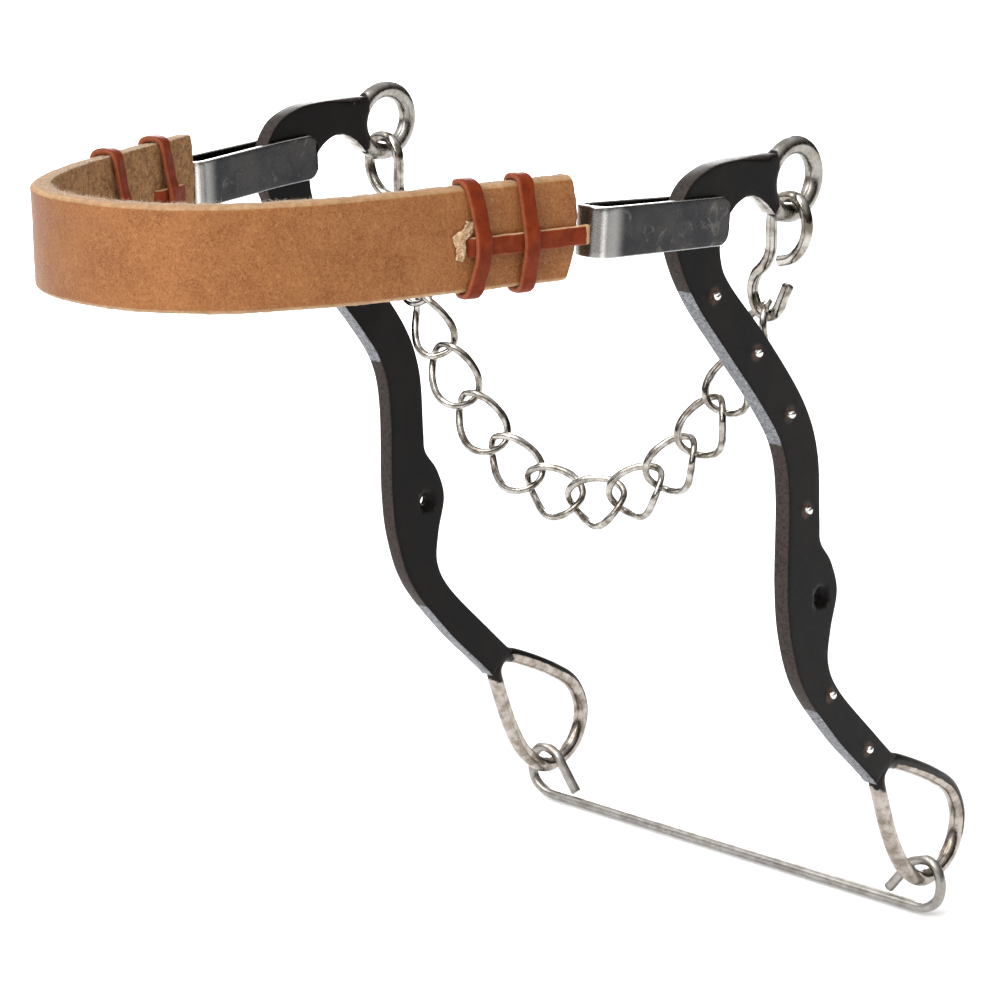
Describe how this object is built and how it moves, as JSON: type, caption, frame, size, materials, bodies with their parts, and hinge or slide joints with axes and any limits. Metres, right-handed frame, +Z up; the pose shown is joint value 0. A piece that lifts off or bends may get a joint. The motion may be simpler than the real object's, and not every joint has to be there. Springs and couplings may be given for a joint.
{
  "type": "bitless hackamore",
  "caption": "Bitless hackamore: two long curved steel shanks with eyes and rein rings, a laced leather noseband, a curb chain on hooks, and a wire spreader.",
  "frame": {"origin": "midway between the centres of the two cheek eyes, which is the middle of the headstall mount", "axes": "+X to the right-hand cheek seen by the rider, -Y to the front of the nose, +Z up the horse's face"},
  "size_m": [0.1602, 0.2697, 0.2412],
  "materials": {
    "shank_steel": "black oxide finish, slightly glossy",
    "eye_steel": "ground and polished",
    "ring_steel": "polished, partly blackened",
    "loop_steel": "dark polished",
    "silver": "polished",
    "noseband_leather": "oiled tan grain, raw flesh side",
    "lace_leather": "waxed red-brown",
    "bright_steel": "polished",
    "wire_steel": "satin"
  },
  "bodies": {
    "shanks": {"right_shank_bar": "shank_steel", "left_shank_bar": "shank_steel", "right_cheek_eye": "eye_steel", "left_cheek_eye": "eye_steel", "right_rein_ring": "ring_steel", "left_rein_ring": "ring_steel", "right_noseband_loop": "loop_steel", "left_noseband_loop": "loop_steel", "right_silver_pins": "silver", "left_silver_pins": "silver"},
    "noseband": {"noseband_strap": "noseband_leather", "right_rear_wrap": "lace_leather", "right_front_wrap": "lace_leather", "left_rear_wrap": "lace_leather", "left_front_wrap": "lace_leather", "right_lace_run": "lace_leather", "left_lace_run": "lace_leather"},
    "curb_chain": {"right_curb_hook": "bright_steel", "left_curb_hook": "bright_steel"},
    "link_01": {"chain_link_01": "bright_steel"},
    "link_02": {"chain_link_02": "bright_steel"},
    "link_03": {"chain_link_03": "bright_steel"},
    "link_04": {"chain_link_04": "bright_steel"},
    "link_05": {"chain_link_05": "bright_steel"},
    "link_06": {"chain_link_06": "bright_steel"},
    "link_07": {"chain_link_07": "bright_steel"},
    "link_08": {"chain_link_08": "bright_steel"},
    "link_09": {"chain_link_09": "bright_steel"},
    "link_10": {"chain_link_10": "bright_steel"},
    "link_11": {"chain_link_11": "bright_steel"},
    "link_12": {"chain_link_12": "bright_steel"},
    "spreader": {"spreader_bar": "wire_steel"}
  },
  "joints": [
    {"name": "noseband_tilt", "type": "hinge", "parent": "shanks", "child": "noseband", "pos_m": [0, -0.08, -0.0054], "axis": [0.9993, 0, 0.0366], "range_deg": [-8, 8]},
    {"name": "curb_chain_swing", "type": "hinge", "parent": "shanks", "child": "curb_chain", "pos_m": [0, 0, -0.00455], "axis": [1, 0, 0], "range_deg": [-25, 70]},
    {"name": "spreader_swing", "type": "hinge", "parent": "shanks", "child": "spreader", "pos_m": [0, 0.0736, -0.2111], "axis": [1, 0, 0], "range_deg": [-50, 35]},
    {"name": "link_01_turn", "type": "hinge", "parent": "curb_chain", "child": "link_01", "pos_m": [-0.06203, 0, -0.0427], "axis": [0.4141, 0, -0.9102], "range_deg": [-3, 6]},
    {"name": "link_02_turn", "type": "hinge", "parent": "curb_chain", "child": "link_02", "pos_m": [-0.05471, 0, -0.05721], "axis": [0.4862, 0, -0.8738], "range_deg": [-6, 6]},
    {"name": "link_03_turn", "type": "hinge", "parent": "curb_chain", "child": "link_03", "pos_m": [-0.04603, 0, -0.07091], "axis": [0.5824, 0, -0.8129], "range_deg": [-6, 6]},
    {"name": "link_04_turn", "type": "hinge", "parent": "curb_chain", "child": "link_04", "pos_m": [-0.03554, 0, -0.08325], "axis": [0.7089, 0, -0.7053], "range_deg": [-6, 6]},
    {"name": "link_05_turn", "type": "hinge", "parent": "curb_chain", "child": "link_05", "pos_m": [-0.02282, 0, -0.09312], "axis": [0.8593, 0, -0.5114], "range_deg": [-6, 6]},
    {"name": "link_06_turn", "type": "hinge", "parent": "curb_chain", "child": "link_06", "pos_m": [-0.00793, 0, -0.09883], "axis": [0.981, 0, -0.194], "range_deg": [-6, 6]},
    {"name": "link_07_turn", "type": "hinge", "parent": "curb_chain", "child": "link_07", "pos_m": [0.00793, 0, -0.09883], "axis": [0.981, 0, 0.194], "range_deg": [-6, 6]},
    {"name": "link_08_turn", "type": "hinge", "parent": "curb_chain", "child": "link_08", "pos_m": [0.02282, 0, -0.09312], "axis": [0.8593, 0, 0.5114], "range_deg": [-6, 6]},
    {"name": "link_09_turn", "type": "hinge", "parent": "curb_chain", "child": "link_09", "pos_m": [0.03554, 0, -0.08325], "axis": [0.7089, 0, 0.7053], "range_deg": [-6, 6]},
    {"name": "link_10_turn", "type": "hinge", "parent": "curb_chain", "child": "link_10", "pos_m": [0.04603, 0, -0.07091], "axis": [0.5824, 0, 0.8129], "range_deg": [-6, 6]},
    {"name": "link_11_turn", "type": "hinge", "parent": "curb_chain", "child": "link_11", "pos_m": [0.05471, 0, -0.05721], "axis": [0.4862, 0, 0.8738], "range_deg": [-6, 6]},
    {"name": "link_12_turn", "type": "hinge", "parent": "curb_chain", "child": "link_12", "pos_m": [0.06203, 0, -0.0427], "axis": [0.4141, 0, 0.9102], "range_deg": [-6, 3]}
  ]
}
